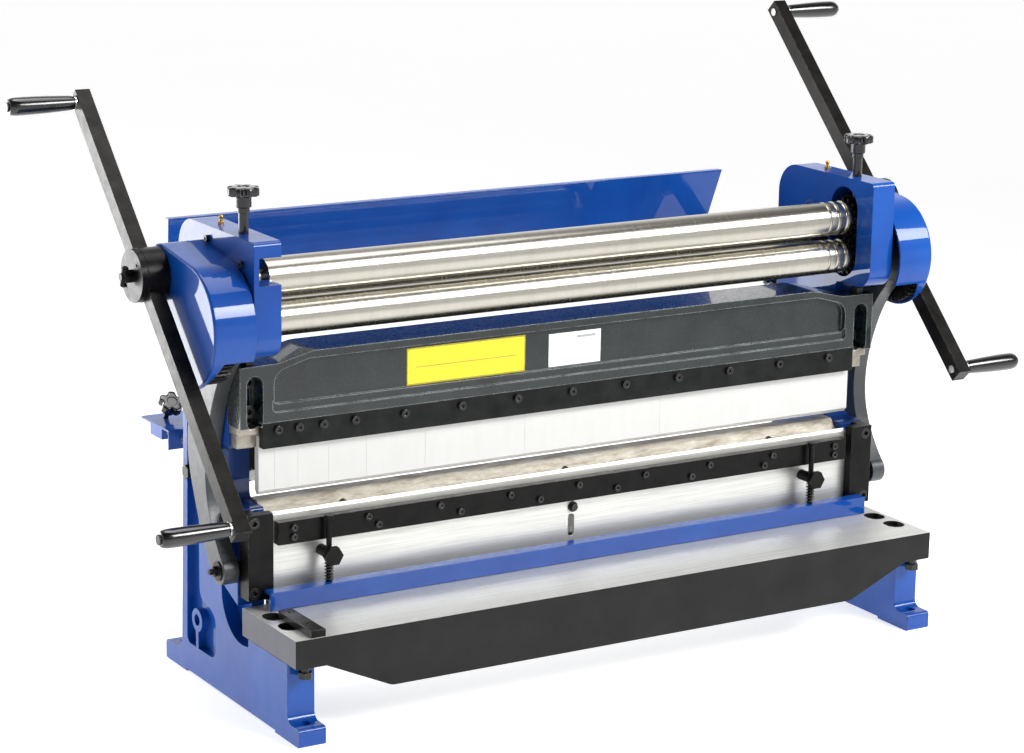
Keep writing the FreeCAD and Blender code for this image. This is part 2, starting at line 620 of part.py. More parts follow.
def beam():
    web = prism_y(both([
        (0, BEAM_TOP), (428, BEAM_TOP, 60), (482, 492, 40), (BEAM_HALF, 491), (BEAM_HALF, BEAM_BOTTOM),
        (0, BEAM_BOTTOM)]), RAM_FACE_Y, BEAM_SEAT_Y)
    flange = prism_y(both([
        (0, BEAM_TOP), (428, BEAM_TOP, 60), (482, 492, 40), (498.2, 492), (498.2, 478), (478, 478, 40),
        (424, 491, 40), (0, 491)]), BEAM_SEAT_Y - 1, 35)
    ribs = [box(x - 6, x + 6, BEAM_SEAT_Y - 1, 28, 400, 495) for x in (-460, -230, 0, 230, 460)]
    tools = [
        box(-507, 507, -42, FINGER_FRONT_Y, 360, 409.2),
        box(-508.4, 508.4, FINGER_FRONT_Y - 1, FINGER_REAR_Y, 360, FINGER_TOP_Z),
        prism_y(both([(0, 494), (436, 494, 30), (489, 479, 22), (489, 434, 8), (0, 434)]), -42, -32),
        prism_y(both([(0, 440), (491, 440, 0), (491, 423, 6), (0, 423)]), -42, -37)]
    for s in (-1, 1):
        tools += [
            box(s * 507, s * 545, -42, -31, 360, 404), box(s * 507, s * 545, -42, -21, 360, 392),
            box(s * 538.7, s * 545, -42, 0, 360, 404), box(s * 536.7, s * 545, -42, 0, 360, 392)]
        x = s * BEAM_BOLT_X
        tools.append(prism_y([
            (x - 12.2, 401, 12.1), (x + 12.2, 401, 12.1), (x + 12.2, 477, 12.1), (x - 12.2, 477, 12.1)],
            -42, -10))
        tools.append(prism_y([
            (x - 6.5, 412, 6.4), (x + 6.5, 412, 6.4), (x + 6.5, 472, 6.4), (x - 6.5, 472, 6.4)], -11, 0))
    for x in CLAMP_SCREWS:
        tools.append(screw_hole((x, FINGER_FRONT_Y, CLAMP_SCREW_Z), (0, -1, 0), 4, 25))
    save("upper_beam", cut(fuse([web, flange] + ribs), tools))
    bolts = []
    for z in BEAM_BOLT_Z:
        bolts += pair(cap_screw((BEAM_BOLT_X, -10, z), (0, -1, 0), 9, 12, 6, 33))
    save("frame_screws", *bolts)
    jack = hex_screw((JACK_X, JACK_Y, 500), (0, 0, -1), 17, 8.4, 6, 26)
    save("frame_screws", *pair(jack))
    bar = box(-CLAMP_HALF, CLAMP_HALF, RAM_FACE_Y, FINGER_FRONT_Y, 373, 409)
    save("finger_clamp_bar", cut(bar, [
        screw_hole((x, RAM_FACE_Y, CLAMP_SCREW_Z), (0, -1, 0), 4, 14) for x in CLAMP_SCREWS]))
    save("frame_screws", *[
        cap_screw((x, RAM_FACE_Y, CLAMP_SCREW_Z), (0, -1, 0), 6, 4.5, 4, 34) for x in CLAMP_SCREWS])
    save("plates", box(-277, -82, -32 - PLATE_THICK, -32, 423.2 + 11.5, 489))
    save("plates", box(-42, 47, -32 - PLATE_THICK, -32, 436, 485))


def fingers():
    left = -sum(FINGER_WIDTHS) / 2
    middle = (FINGER_FRONT_Y + FINGER_REAR_Y) / 2
    bevel = middle - FINGER_FRONT_Y
    for width in FINGER_WIDTHS:
        finger = prism_x([
            (middle, FINGER_TIP_Z), (FINGER_REAR_Y, FINGER_TIP_Z + bevel), (FINGER_REAR_Y, FINGER_TOP_Z),
            (FINGER_FRONT_Y, FINGER_TOP_Z), (FINGER_FRONT_Y, FINGER_TIP_Z + bevel)],
            left + FINGER_GAP / 2, left + width - FINGER_GAP / 2)
        save("fingers", finger)
        left += width


# ---------------------------------------------------------------- rolls

ROLL_GEAR_TEETH = 14
ROLL_GEAR = {"pitch_r": 27.0, "outer_r": 30.4, "root_r": 21.9, "fill": 0.34}
SHAFT_END = 601.5
GEAR_SPAN = {"left": (568.0, 596.0), "right": (587.5, 601.5)}


def grooved_roll(journal_left, journal_right):
    roll = fuse([chamfered_roll(ROLL_R, ROLL_HALF), rod((-journal_left, 0, 0), (journal_right, 0, 0), JOURNAL_R)])
    return cut(roll, [Part.makeTorus(ROLL_R, r, Vector(x, 0, 0), Vector(1, 0, 0)) for x, r in WIRE_GROOVES])


def rolls():
    lower = grooved_roll(SHAFT_END, SHAFT_END)
    lower.translate(Vector(0, ROLL_Y, LOWER_Z))
    save("lower_roll", lower)
    upper = grooved_roll(532.4, 532.4)
    upper.translate(Vector(0, ROLL_Y, UPPER_Z))
    save("upper_roll", upper)
    rear = fuse([chamfered_roll(ROLL_R, 494), rod((-519.5, 0, 0), (519.5, 0, 0), JOURNAL_R)])
    rear.translate(Vector(0, REAR_ROLL_Y, REAR_ROLL_Z))
    save("rear_roll", rear)
    up = math.radians(90)
    half_tooth = math.pi / ROLL_GEAR_TEETH
    span = (500.0, 513.0)
    save("lower_roll_gear", gear(ROLL_GEAR_TEETH, x0=span[0], x1=span[1], y=ROLL_Y, z=LOWER_Z,
                                 tooth_at=up, bore=JOURNAL_R + FIT_GAP, **ROLL_GEAR))
    save("upper_roll_gear", gear(ROLL_GEAR_TEETH, x0=span[0], x1=span[1], y=ROLL_Y, z=UPPER_Z,
                                 tooth_at=-up + half_tooth, bore=JOURNAL_R + FIT_GAP, **ROLL_GEAR))


def roll_bearings():
    half = BLOCK_HALF - MOVE_GAP
    bore = JOURNAL_R + FIT_GAP
    upper = box(BLOCK_IN + MOVE_GAP, BLOCK_OUT - MOVE_GAP, ROLL_Y - half, ROLL_Y + half, 584, 640)
    upper = upper.cut(rod_x(500, 540, ROLL_Y, UPPER_Z, bore))
    lower = box(BLOCK_IN, BLOCK_OUT, ROLL_Y - BLOCK_HALF, ROLL_Y + BLOCK_HALF, 527, 574)
    lower = lower.cut(rod_x(500, 540, ROLL_Y, LOWER_Z, bore))
    rear = rear_slot(FRAME_IN + MOVE_GAP, REAR_POCKET_X - MOVE_GAP, -REAR_BLOCK_HALF, REAR_BLOCK_HALF,
                     REAR_BLOCK_HALF)
    rear = rear.cut(rod_x(490, 530, REAR_ROLL_Y, REAR_ROLL_Z, bore))
    for name, side in SIDES.items():
        save("upper_bearing_blocks", on_side(upper, side))
        save("rear_bearing_blocks", on_side(rear, side))
    save("frame_bearings", *pair(lower))
    save("frame_bearings", *pair(tube_x(FRAME_IN, FRAME_OUT, CRANK_Y, CRANK_Z, CRANK_BUSH_R, 10 + FIT_GAP)))
    top = (STAR_SCREW_X, ROLL_Y)
    screw = fuse([
        rod((*top, 640.3), (*top, 712), STAR_ROD_R), rod((*top, 701), (*top, 709), 8.5),
        rod((*top, 708), (*top, 724), 11), star(22.5, 13, 8, (*top, 723.5), (0, 0, 1))])
    axis = FORWARD * -1
    centre = Vector(REAR_SCREW_X, REAR_ROLL_Y, REAR_ROLL_Z)
    rear_screw = fuse([
        rear_rod(REAR_BLOCK_HALF + MOVE_GAP, 150, REAR_SCREW_R), rear_rod(138, 151, 10),
        star(20, 12, 8, centre + axis * 150, axis)])
    for name, side in SIDES.items():
        save(name + "_roll_screw", on_side(screw, side))
        save("rear_roll_screws", on_side(rear_screw, side))


# ---------------------------------------------------------------- drive train and cranks

def drive():
    line = math.atan2(CRANK_Z - LOWER_Z, CRANK_Y - ROLL_Y)
    pitch_r = GEAR_MODULE * GEAR_TEETH / 2
    pinion_r = GEAR_MODULE * PINION_TEETH / 2
    facing = line + math.pi + math.pi / PINION_TEETH
    centre_y = ROLL_Y + ECCENTRIC * math.cos(ECCENTRIC_ANGLE)
    centre_z = LOWER_Z + ECCENTRIC * math.sin(ECCENTRIC_ANGLE)
    for name, side in SIDES.items():
        x0, x1 = GEAR_SPAN[name]
        big = gear(GEAR_TEETH, pitch_r, pitch_r + GEAR_MODULE, pitch_r - 1.25 * GEAR_MODULE, 0.47,
                   x0, x1, ROLL_Y, LOWER_Z, line, JOURNAL_R + FIT_GAP)
        big = cut(big, [tube_x(x0 - 1, x0 + (x1 - x0) * 0.25, ROLL_Y, LOWER_Z, 66, 24)])
        pinion = gear(PINION_TEETH, pinion_r, pinion_r + GEAR_MODULE, pinion_r - 1.25 * GEAR_MODULE, 0.47,
                      x0 - 0.5, x1 + 0.5, CRANK_Y, CRANK_Z, facing, 9)
        shaft = fuse([pinion, rod_x(496, 615, CRANK_Y, CRANK_Z, 10)])
        near = LINK_IN[name] + 0.5
        eccentric = rod_x(near, near + LINK_THICK - 1, centre_y, centre_z, ECCENTRIC_R)
        eccentric = eccentric.cut(rod_x(near - 2, near + 30, ROLL_Y, LOWER_Z, JOURNAL_R + FIT_GAP))
        save("drive_gears", on_side(big, side))
        save("eccentrics", on_side(eccentric, side))
        save(name + "_pinion_shaft", on_side(shaft, side))


def lobe(radius_big, radius_small, x0, x1):
    """The cover's outline: the drum round the gear and the smaller lobe round the pinion."""
    big = Vector(0, ROLL_Y - 0.3, LOWER_Z + 0.5)
    small = Vector(0, CRANK_Y, CRANK_Z)
    along = small - big
    reach = along.Length
    along.normalize()
    square = Vector(0, -along.z, along.y)
    lean = math.asin((radius_big - radius_small) / reach)
    upper = along * math.sin(lean) + square * math.cos(lean)
    lower = along * math.sin(lean) - square * math.cos(lean)
    corners = [big + upper * radius_big, small + upper * radius_small,
               small + lower * radius_small, big + lower * radius_big]
    arc_small = Part.Arc(corners[1], small + along * radius_small, corners[2])
    arc_big = Part.Arc(corners[3], big - along * radius_big, corners[0])
    wire = Part.Wire([
        Part.makeLine(corners[0], corners[1]), arc_small.toShape(),
        Part.makeLine(corners[2], corners[3]), arc_big.toShape()])
    face = Part.Face(wire)
    face.translate(Vector(x0, 0, 0))
    return face.extrude(Vector(x1 - x0, 0, 0))


def cover():
    outer = lobe(86, 41, FRAME_OUT, COVER_OUT)
    rim_edges = [e for e in outer.Edges if abs(e.BoundBox.XMin - COVER_OUT) < 0.01
                 and abs(e.BoundBox.XMax - COVER_OUT) < 0.01]
    outer = outer.makeFillet(3.5, rim_edges)
    inner = lobe(86 - COVER_WALL, 41 - COVER_WALL, FRAME_OUT - 1, COVER_OUT - COVER_WALL)
    mouth = prism_y([(538, 300), (538, 512), (588, 512), (601, 482), (601, 300)], -200, 200)
    gap = prism_x([(-200, 400), (-200, 700), (-40, 700), (-40, 590), (200, 590), (200, 400)], 538, 544)
    return cut(outer, [inner, mouth, gap, rod_x(590, 620, CRANK_Y, CRANK_Z, 12)])


def cranks():
    diagonal = math.radians(45)
    for name, side in SIDES.items():
        along = Vector(0, math.cos(diagonal), math.sin(diagonal))
        square = Vector(0, -math.sin(diagonal), math.cos(diagonal))
        axis = Vector(0, CRANK_Y, CRANK_Z)

        def bar(x0, x1, start, end, half):
            corners = [(start, -half), (end, -half), (end, half), (start, half), (start, -half)]
            points = [axis + Vector(x0, 0, 0) + along * u + square * v for u, v in corners]
            return Part.Face(Part.makePolygon(points)).extrude(Vector(x1 - x0, 0, 0))

        hub = rod_x(607, ARM_OUT, CRANK_Y, CRANK_Z, HUB_R)
        cap = rod_x(ARM_OUT + 0.4, 648, CRANK_Y, CRANK_Z, HUB_R - 0.5)
        cap_screws = []
        hub_tools = [bar(ARM_IN - MOVE_GAP, ARM_OUT + 1, -60, 60, ARM_WIDTH / 2 + MOVE_GAP),
                     rod_x(606, 617, CRANK_Y, CRANK_Z, 10 + FIT_GAP)]
        cap_tools = [rod_x(637, 650, CRANK_Y, CRANK_Z, 6 + HOLE_GAP)]
        for v in (-24.5, 24.5):
            spot = axis + square * v + Vector(643, 0, 0)
            cap_screws.append(cap_screw(spot, (1, 0, 0), 5, 5, 3, 24))
            cap_tools.append(screw_hole(spot, (1, 0, 0), 3, 8, 5, 8))
            hub_tools.append(screw_hole(spot, (1, 0, 0), 3, 25))
        clamp = fuse([rod_x(ARM_OUT + MOVE_GAP, 650, CRANK_Y, CRANK_Z, 6),
                      rod_x(648.2, 660, CRANK_Y, CRANK_Z, 9)])
        save(name + "_crank_hub", on_side(cut(hub, hub_tools), side))
        save(name + "_hub_cap", on_side(cut(cap, cap_tools), side))
        save(name + "_hub_cap", *[on_side(s, side) for s in cap_screws + [clamp]])
        middle = ARM_CENTRE[name]
        ends = (middle - ARM_LENGTH / 2, middle + ARM_LENGTH / 2)
        arm = bar(ARM_IN, ARM_OUT, ends[0], ends[1], ARM_WIDTH / 2)
        pins = []
        for label, end, inward in (("lower", ends[0], 1), ("upper", ends[1], -1)):
            spot = axis + along * (end + inward * 14)
            arm = arm.cut(rod_x(ARM_IN - 1, ARM_OUT + 1, spot.y, spot.z, 6 + HOLE_GAP))
            pins.append(fuse([
                rod_x(ARM_IN - 2, ARM_OUT + GRIP_LENGTH + 2, spot.y, spot.z, 6),
                rod_x(ARM_OUT, ARM_OUT + 3.7, spot.y, spot.z, 10),
                rod_x(ARM_OUT + GRIP_LENGTH + 4.3, ARM_OUT + GRIP_LENGTH + 7, spot.y, spot.z, 7),
                rod_x(ARM_OUT + GRIP_LENGTH, ARM_OUT + GRIP_LENGTH + 5, spot.y, spot.z, 6)]))
            start = ARM_OUT + 4.0
            profile = [(start, 6.3), (start, 10.0), (start + 6, 11.3), (start + 36, GRIP_R),
                       (start + GRIP_LENGTH - 10, GRIP_R), (start + GRIP_LENGTH, 10.5),
                       (start + GRIP_LENGTH, 6.3), (start, 6.3)]
            face = Part.Face(Part.makePolygon([Vector(x, spot.y + r, spot.z) for x, r in profile]))
            grip = face.revolve(Vector(0, spot.y, spot.z), Vector(1, 0, 0), 360)
            save(name + "_" + label + "_grip", on_side(grip, side))
        save(name + "_crank_arm", on_side(arm, side))
        save(name + "_grip_pins", *[on_side(p, side) for p in pins])


# ---------------------------------------------------------------- rear of the machine

GUARD_TOP = (301.0, 636.0)
GUARD_BOTTOM = (342.0, 500.0)
GAUGE_ROD_X = 450.0
GAUGE_ROD_Z = 292.0
GAUGE_FRONT_Y = 336.0
GAUGE_TOP_Z = 308.0


def rear_guard():
    slope = (GUARD_BOTTOM[0] - GUARD_TOP[0]) / (GUARD_TOP[1] - GUARD_BOTTOM[1])
    sheet = prism_x([GUARD_TOP, (GUARD_TOP[0] + 2, GUARD_TOP[1]),
                     (GUARD_BOTTOM[0] + 2, GUARD_BOTTOM[1]), GUARD_BOTTOM], -490, 490)
    lip = box(-490, 490, GUARD_TOP[0], GUARD_TOP[0] + 12, GUARD_TOP[1] - 2, GUARD_TOP[1])
    sides = [prism_y([(s * 490.5, 640), (s * 490.5, 495), (s * 474, 495), (s * 490, 637)], 290, 360)
             for s in (-1, 1)]
    guard = cut(fuse([sheet, lip]), sides)
    low = GUARD_BOTTOM[1]
    arm = prism_x([(103, 508), (150, 508), (344, low), (344, low + 4), (333, low + 38), (150, 546), (103, 546)],
                  493, FRAME_IN)
    foot = prism_x([(344, low), (349, low), (338.5, low + 36), (333.6, low + 36)], 440, FRAME_IN)
    bracket = fuse([arm, foot])
    bracket = cut(bracket, [screw_hole((493, y, z), (-1, 0, 0), 4, 8) for y, z in BRACKET_BOLTS])
    bolts = []
    for y, z in BRACKET_BOLTS:
        bolts += pair(cap_screw((493, y, z), (-1, 0, 0), 6.5, 6, 4, 18))
    screw_axis = Vector(0, -math.cos(math.atan(slope)), -math.sin(math.atan(slope)))
    for s in (-1, 1):
        at = Vector(s * 458, GUARD_BOTTOM[0] - slope * 18, low + 18)
        guard = guard.cut(screw_hole(at, screw_axis, 2.5, 12))
        bracket = bracket.cut(screw_hole(Vector(458, at.y, at.z), screw_axis, 2.5, 12))
        bolts.append(cap_screw(at, screw_axis, 4.5, 3, 2.5, 9))
    save("rear_guard", guard)
    save("guard_brackets", *pair(bracket))
    save("frame_screws", *bolts)


def tie_and_gauge():
    tie = fuse([box(-FRAME_IN, FRAME_IN, TIE_Y, TIE_Y + 12, *TIE_Z)])
    tools = [rod((s * GAUGE_ROD_X, 100, GAUGE_ROD_Z), (s * GAUGE_ROD_X, 140, GAUGE_ROD_Z), 8.05) for s in (-1, 1)]
    tools += [rod_x(s * 470, s * 500, TIE_Y + 6, 305, 5.2) for s in (-1, 1)]
    save("rear_tie_bar", cut(tie, tools))
    tie_bolt = hex_screw((FRAME_OUT, TIE_Y + 6, 305), (1, 0, 0), 19, 8, 5, 64)
    save("frame_screws", *pair(tie_bolt))
    save("gauge_rods", *pair(rod((GAUGE_ROD_X, 108, GAUGE_ROD_Z), (GAUGE_ROD_X, 446, GAUGE_ROD_Z), 8)))
    front = GAUGE_FRONT_Y
    angle = fuse([box(-478, 478, front, front + 100, GAUGE_TOP_Z - 3, GAUGE_TOP_Z),
                  box(-478, 478, front, front + 3, 278, GAUGE_TOP_Z)])
    foot = Vector(GAUGE_ROD_X, 422, GAUGE_ROD_Z)
    lean = Vector(0, -0.63, 0.777)
    lean.normalize()
    screw_way = Part.makeCylinder(4 + MOVE_GAP, 70, foot, lean)
    rod_way = rod((GAUGE_ROD_X, 300, GAUGE_ROD_Z), (GAUGE_ROD_X, 460, GAUGE_ROD_Z), 8 + MOVE_GAP)
    block = cut(box(436, 464, 392, 434, 279, GAUGE_TOP_Z - 3), [screw_way, rod_way])
    save("back_gauge", cut(angle, pair(screw_way) + pair(rod_way)))
    save("back_gauge", *pair(block))
    knob = fuse([Part.makeCylinder(4, 40, foot + lean * 14, lean), Part.makeCylinder(9, 13, foot + lean * 36, lean),
                 star(20, 14, 5, foot + lean * 48, lean)])
    for name, side in SIDES.items():
        save(name + "_gauge_knob", on_side(knob, side))


def small_fittings():
    nipple = fuse([hexagon((FRAME_MID, NIPPLE_Y, STAND_TOP), (0, 0, 1), 8, 4),
                   rod((FRAME_MID, NIPPLE_Y, STAND_TOP - 7), (FRAME_MID, NIPPLE_Y, STAND_TOP + 1), 2.8),
                   rod((FRAME_MID, NIPPLE_Y, STAND_TOP + 3), (FRAME_MID, NIPPLE_Y, STAND_TOP + 8), 2.4),
                   Part.makeSphere(3.2, Vector(FRAME_MID, NIPPLE_Y, STAND_TOP + 10))])
    save("grease_nipples", *pair(nipple))
    screws = []
    for y, z in SIDE_SCREWS:
        screws += pair(cap_screw((FRAME_OUT, y, z), (1, 0, 0), 5, 5, 3, 7))
    save("frame_screws", *screws)


frames()
table()
ram()
v_die()
upper_blade()
hold_down()
guides()
links()
beam()
fingers()
rolls()
roll_bearings()
drive()
for side_name, side_sign in SIDES.items():
    save(side_name + "_gear_cover", on_side(cover(), side_sign))
cranks()
rear_guard()
tie_and_gauge()
small_fittings()
export_all()
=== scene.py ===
import json
import math

import bmesh
import bpy
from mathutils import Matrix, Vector


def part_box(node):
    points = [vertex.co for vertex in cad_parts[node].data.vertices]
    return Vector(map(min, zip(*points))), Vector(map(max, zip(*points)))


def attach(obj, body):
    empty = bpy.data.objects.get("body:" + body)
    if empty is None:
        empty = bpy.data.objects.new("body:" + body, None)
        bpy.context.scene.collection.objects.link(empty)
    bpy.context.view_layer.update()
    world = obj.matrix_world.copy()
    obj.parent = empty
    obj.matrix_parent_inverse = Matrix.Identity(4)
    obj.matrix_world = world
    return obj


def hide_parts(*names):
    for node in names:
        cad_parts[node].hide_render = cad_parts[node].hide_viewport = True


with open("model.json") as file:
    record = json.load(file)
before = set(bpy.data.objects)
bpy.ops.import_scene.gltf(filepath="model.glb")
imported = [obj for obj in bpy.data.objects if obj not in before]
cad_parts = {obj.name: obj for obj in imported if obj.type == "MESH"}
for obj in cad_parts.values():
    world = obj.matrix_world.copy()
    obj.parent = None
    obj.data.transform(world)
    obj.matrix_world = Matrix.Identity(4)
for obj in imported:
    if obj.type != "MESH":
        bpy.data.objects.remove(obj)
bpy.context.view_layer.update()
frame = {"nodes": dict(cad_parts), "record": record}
nodes = frame["nodes"]
node_body = {n: b for b, members in frame["record"]["behaviour"]["bodies"].items() for n in members}
node_slot = {s["node"]: s["material_slot"] for s in frame["record"]["subparts"]}

SIDES = (("left", -1), ("right", 1))
FADE = 0.0002           # metres over which one finish gives way to the next
PAINTED_SHADE_NECK_Z = (0.290, 0.368)     # the side frames' neck, between the table and the beam, in metres; painted shade darkens the blue there
SHARP_DEGREES = 32


# ---------------------------------------------------------------- shading

class Shader:
    """Builds one node material; textures run in the object's own coordinates, in metres."""

    def __init__(self, name, **settings):
        self.material = bpy.data.materials.new(name)
        self.material.use_nodes = True
        self.tree = self.material.node_tree
        self.bsdf = self.tree.nodes["Principled BSDF"]
        self.place = self.tree.nodes.new("ShaderNodeTexCoord").outputs["Object"]
        self.surface_normal = None
        for key, value in settings.items():
            self.bsdf.inputs[key.replace("_", " ")].default_value = value

    def node(self, kind, **settings):
        made = self.tree.nodes.new("ShaderNode" + kind)
        for key, value in settings.items():
            setattr(made, key, value)
        return made

    def put(self, value, socket):
        if isinstance(value, bpy.types.NodeSocket):
            self.tree.links.new(value, socket)
        else:
            socket.default_value = value

    def stretched(self, scale):
        mapping = self.node("Mapping")
        self.put(self.place, mapping.inputs["Vector"])
        mapping.inputs["Scale"].default_value = scale
        return mapping.outputs["Vector"]

    def noise(self, scale, detail=4.0, rough=0.5, stretch=None, distortion=0.0):
        made = self.node("TexNoise")
        self.put(self.stretched(stretch) if stretch else self.place, made.inputs["Vector"])
        made.inputs["Scale"].default_value = scale
        made.inputs["Detail"].default_value = detail
        made.inputs["Roughness"].default_value = rough
        made.inputs["Distortion"].default_value = distortion
        return made.outputs["Fac"]

    def cells(self, scale, smooth):
        made = self.node("TexVoronoi", feature="SMOOTH_F1")
        self.put(self.place, made.inputs["Vector"])
        made.inputs["Scale"].default_value = scale
        made.inputs["Smoothness"].default_value = smooth
        return made.outputs["Distance"]

    def band(self, value, low, high, out_low=0.0, out_high=1.0):
        made = self.node("MapRange")
        self.put(value, made.inputs["Value"])
        for key, number in (("From Min", low), ("From Max", high), ("To Min", out_low), ("To Max", out_high)):
            made.inputs[key].default_value = number
        return made.outputs["Result"]

    def math(self, operation, a, b=0.0):
        made = self.node("Math", operation=operation)
        self.put(a, made.inputs[0])
        self.put(b, made.inputs[1])
        return made.outputs[0]

    def mix(self, factor, a, b):
        made = self.node("Mix", data_type="RGBA")
        self.put(factor, made.inputs["Factor"])
        self.put(a, made.inputs[6])
        self.put(b, made.inputs[7])
        return made.outputs[2]

    def edge(self, radius, low, high):
        """1 along sharp edges, 0 on the open surface."""
        soft = self.node("Bevel", samples=4)
        soft.inputs["Radius"].default_value = radius
        flat = self.node("NewGeometry").outputs["Normal"]
        dot = self.node("VectorMath", operation="DOT_PRODUCT")
        self.put(soft.outputs["Normal"], dot.inputs[0])
        self.put(flat, dot.inputs[1])
        return self.band(dot.outputs["Value"], 1 - low, 1 - high)

    def axis(self, index):
        split = self.node("SeparateXYZ")
        self.put(self.place, split.inputs[0])
        return split.outputs[index]

    def facing(self, index):
        split = self.node("SeparateXYZ")
        self.put(self.node("NewGeometry").outputs["Normal"], split.inputs[0])
        return split.outputs[index]

    def bump(self, height, strength, distance):
        made = self.node("Bump")
        made.inputs["Strength"].default_value = strength
        made.inputs["Distance"].default_value = distance
        self.put(height, made.inputs["Height"])
        if self.surface_normal is not None:
            self.put(self.surface_normal, made.inputs["Normal"])
        self.surface_normal = made.outputs["Normal"]

    def soften(self, radius):
        made = self.node("Bevel", samples=6)
        made.inputs["Radius"].default_value = radius
        self.surface_normal = made.outputs["Normal"]

    def finish(self, color, rough, metal=None):
        for value, name in ((color, "Base Color"), (rough, "Roughness"), (metal, "Metallic")):
            if value is not None:
                self.put(value, self.bsdf.inputs[name])
        if self.surface_normal is not None:
            self.put(self.surface_normal, self.bsdf.inputs["Normal"])
        return self.material


def rgb(r, g, b):
    """sRGB 0-255 to the linear colour that shaders take."""
    def linear(v):
        v /= 255
        return v / 12.92 if v <= 0.04045 else ((v + 0.055) / 1.055) ** 2.4
    return (linear(r), linear(g), linear(b), 1.0)


def blue_enamel():
    """Gloss blue paint, paler in flecks along its sharp edges, and darkened by painted shade in the side
    frames' neck.
    """
    s = Shader("blue_enamel", Coat_Weight=0.7, Coat_Roughness=0.03, Specular_IOR_Level=0.1)
    s.soften(0.0028)
    s.bump(s.noise(20, 3), 0.12, 0.002)
    s.bump(s.noise(260, 2), 0.05, 0.0006)
    tone = s.band(s.noise(9, 4), 0.3, 0.7)
    color = s.mix(tone, rgb(3, 62, 144), rgb(5, 75, 161))
    # Painted shade: the blue of the side frames' neck, under the beam's end, is darkened to near-black navy,
    # as if shaded by the beam.
    neck = s.math("MULTIPLY", s.band(s.axis(2), PAINTED_SHADE_NECK_Z[0] - 0.018, PAINTED_SHADE_NECK_Z[0]),
                  s.band(s.axis(2), PAINTED_SHADE_NECK_Z[1] + 0.004, PAINTED_SHADE_NECK_Z[1]))
    neck = s.math("MULTIPLY", neck, s.band(s.axis(1), 0.05, 0.0))
    color = s.mix(s.math("MULTIPLY", neck, 0.8), color, rgb(2, 8, 24))
    # Paler blue in noise-gated flecks along sharp edges.
    pale_edge_flecks = s.math("MULTIPLY", s.edge(0.0012, 0.03, 0.3), s.band(s.noise(60, 5, 0.7), 0.60, 0.70))
    color = s.mix(pale_edge_flecks, color, rgb(96, 128, 186))
    return s.finish(color, s.band(s.noise(45, 4), 0.3, 0.7, 0.42, 0.55))


def hammered_enamel():
    """Hammered grey paint with painted highlights along its edges; the low pads at the beam's ends are left
    machined.
    """
    pad_start, pad_top = 0.5066, 0.4040
    s = Shader("hammered_enamel", Coat_Weight=0.8, Coat_Roughness=0.04, Specular_IOR_Level=0.2)
    s.soften(0.0035)
    s.bump(s.noise(16, 3), 0.30, 0.003)
    s.bump(s.cells(210, 0.9), 0.28, 0.0010)
    tone = s.band(s.noise(22, 5), 0.3, 0.7)
    color = s.mix(tone, rgb(20, 25, 26), rgb(32, 39, 39))
    # Painted highlight: sharp edges, such as the pocket's rims, are lightened to pale grey in patches,
    # standing in for the light their rounded edges catch.
    high = s.math("MULTIPLY", s.edge(0.0022, 0.02, 0.25), s.band(s.noise(30, 4), 0.25, 0.5))
    color = s.mix(s.math("MULTIPLY", high, 0.75), color, rgb(176, 186, 186))
    side = s.math("ABSOLUTE", s.axis(0))
    bare = s.math("MULTIPLY", s.band(side, pad_start, pad_start + FADE),
                  s.band(s.axis(2), pad_top + FADE, pad_top))
    steel = s.mix(s.band(s.noise(60, 5, 0.6), 0.3, 0.7), rgb(176, 170, 158), rgb(132, 126, 114))
    rough = s.mix(bare, s.band(s.cells(150, 0.8), 0.1, 0.6, 0.18, 0.36),
                  s.band(s.noise(90, 4), 0.3, 0.7, 0.3, 0.45))
    return s.finish(s.mix(bare, color, steel), rough, s.math("MULTIPLY", bare, 0.8))


def black_oxide(name, dark=(10, 9, 9), light=(22, 21, 20), metal=0.4, edge_wear_and_glint=(150, 147, 144), gloss=0.22):
    s = Shader(name, Specular_IOR_Level=gloss)
    s.soften(0.0007)
    s.bump(s.noise(420, 3), 0.10, 0.0003)
    tone = s.band(s.noise(38, 6, 0.6), 0.3, 0.7)
    color = s.mix(tone, rgb(*dark), rgb(*light))
    # Sharp edges lighten in patches towards the pale edge colour: bare-steel wear, and on the cap screws also
    # a painted highlight.
    rub_and_glint = s.math("MULTIPLY", s.edge(0.0008, 0.02, 0.3), s.band(s.noise(120, 5, 0.7), 0.42, 0.65))
    color = s.mix(s.math("MULTIPLY", rub_and_glint, 0.8), color, rgb(*edge_wear_and_glint))
    return s.finish(color, s.band(s.noise(70, 5, 0.6), 0.3, 0.7, 0.26, 0.42), metal)


def ground_steel(name, light, dark, stretch, rough, stain, metal):
    s = Shader(name)
    s.soften(0.0005)
    grain = s.noise(1.0, 6, 0.7, stretch)
    s.bump(grain, 0.06, 0.0003)
    cloud = s.band(s.noise(7, 5, 0.6, distortion=0.4), 0.35, 0.75)
    base = s.mix(s.math("MULTIPLY", cloud, stain), rgb(*light), rgb(*dark))
    color = s.mix(s.band(grain, 0.35, 0.7, 0.0, 0.35), base, rgb(*dark))
    return s.finish(color, s.band(grain, 0.3, 0.75, *rough), metal)


def pin_steel():
    """Bright grip pins whose outer retaining heads are blackened."""
    head_start = 0.7385
    s = Shader("grip_pin_steel")
    s.soften(0.0005)
    grain = s.noise(1.0, 4, 0.6, (900, 40, 40))
    s.bump(grain, 0.05, 0.0003)
    black = s.band(s.math("ABSOLUTE", s.axis(0)), head_start, head_start + 0.0005)
    bright = s.mix(s.band(grain, 0.35, 0.7), rgb(226, 226, 224), rgb(176, 176, 172))
    color = s.mix(black, bright, rgb(20, 20, 20))
    return s.finish(color, s.band(grain, 0.3, 0.75, 0.2, 0.34), s.band(black, 0, 1, 1.0, 0.2))


